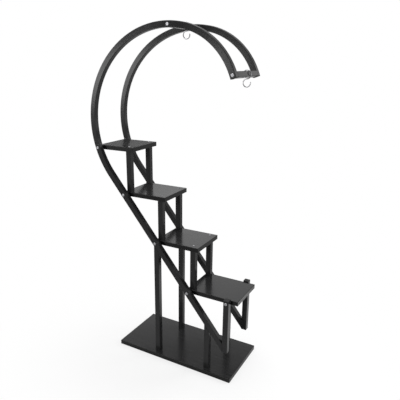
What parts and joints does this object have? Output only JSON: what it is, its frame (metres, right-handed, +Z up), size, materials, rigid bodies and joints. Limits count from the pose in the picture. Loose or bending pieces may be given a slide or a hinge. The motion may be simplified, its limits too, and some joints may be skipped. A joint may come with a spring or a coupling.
{
  "type": "tiered plant stand",
  "caption": "Half-heart plant stand: bent square-tube frames carry stepped black shelves above a flat base, with hooks swinging from bars across the arch.",
  "frame": {"origin": "on the floor, at the centre of the base board's underside", "axes": "+Z up, +X along the stairs towards the lowest shelf, +Y across from the front frame to the back frame"},
  "size_m": [0.7425, 0.3, 1.5212],
  "materials": {
    "board": "black satin laminate on particle board",
    "frame_paint": "black satin powder coat on steel tube",
    "sleeve": "plain steel",
    "insert": "threaded, plain",
    "fastener": "zinc plated",
    "plug": "black moulded plastic",
    "hook": "bright plated wire"
  },
  "bodies": {
    "stand": {"base_board": "board", "shelf_board_1": "board", "shelf_board_2": "board", "shelf_board_3": "board", "shelf_board_4": "board", "front_upper_arc": "frame_paint", "front_lower_rail": "frame_paint", "front_end_post": "frame_paint", "front_left_leg": "frame_paint", "front_right_leg": "frame_paint", "front_post_1": "frame_paint", "front_post_2": "frame_paint", "front_post_3": "frame_paint", "back_upper_arc": "frame_paint", "back_lower_rail": "frame_paint", "back_end_post": "frame_paint", "back_left_leg": "frame_paint", "back_right_leg": "frame_paint", "back_post_1": "frame_paint", "back_post_2": "frame_paint", "back_post_3": "frame_paint", "top_crossbar": "frame_paint", "tip_crossbar": "frame_paint", "front_arc_sleeve": "sleeve", "back_arc_sleeve": "sleeve", "crossbar_inserts": "insert", "shelf_inserts": "insert", "post_inserts": "insert", "leg_inserts": "insert", "crossbar_bolts": "fastener", "shelf_side_bolts": "fastener", "shelf_top_screws": "fastener", "shelf_under_screws": "fastener", "base_screws": "fastener", "arc_tip_plugs": "plug", "end_post_plugs": "plug"},
    "top_hook": {"top_hook": "hook"},
    "tip_hook": {"tip_hook": "hook"}
  },
  "joints": [
    {"name": "top_hook_swing", "type": "hinge", "parent": "stand", "child": "top_hook", "pos_m": [-0.0238, 0.027, 1.50222], "axis": [0, 1, 0], "range_deg": [-80, 80]},
    {"name": "tip_hook_swing", "type": "hinge", "parent": "stand", "child": "tip_hook", "pos_m": [0.2551, 0.016, 1.31477], "axis": [0, 1, 0], "range_deg": [-80, 80]}
  ]
}
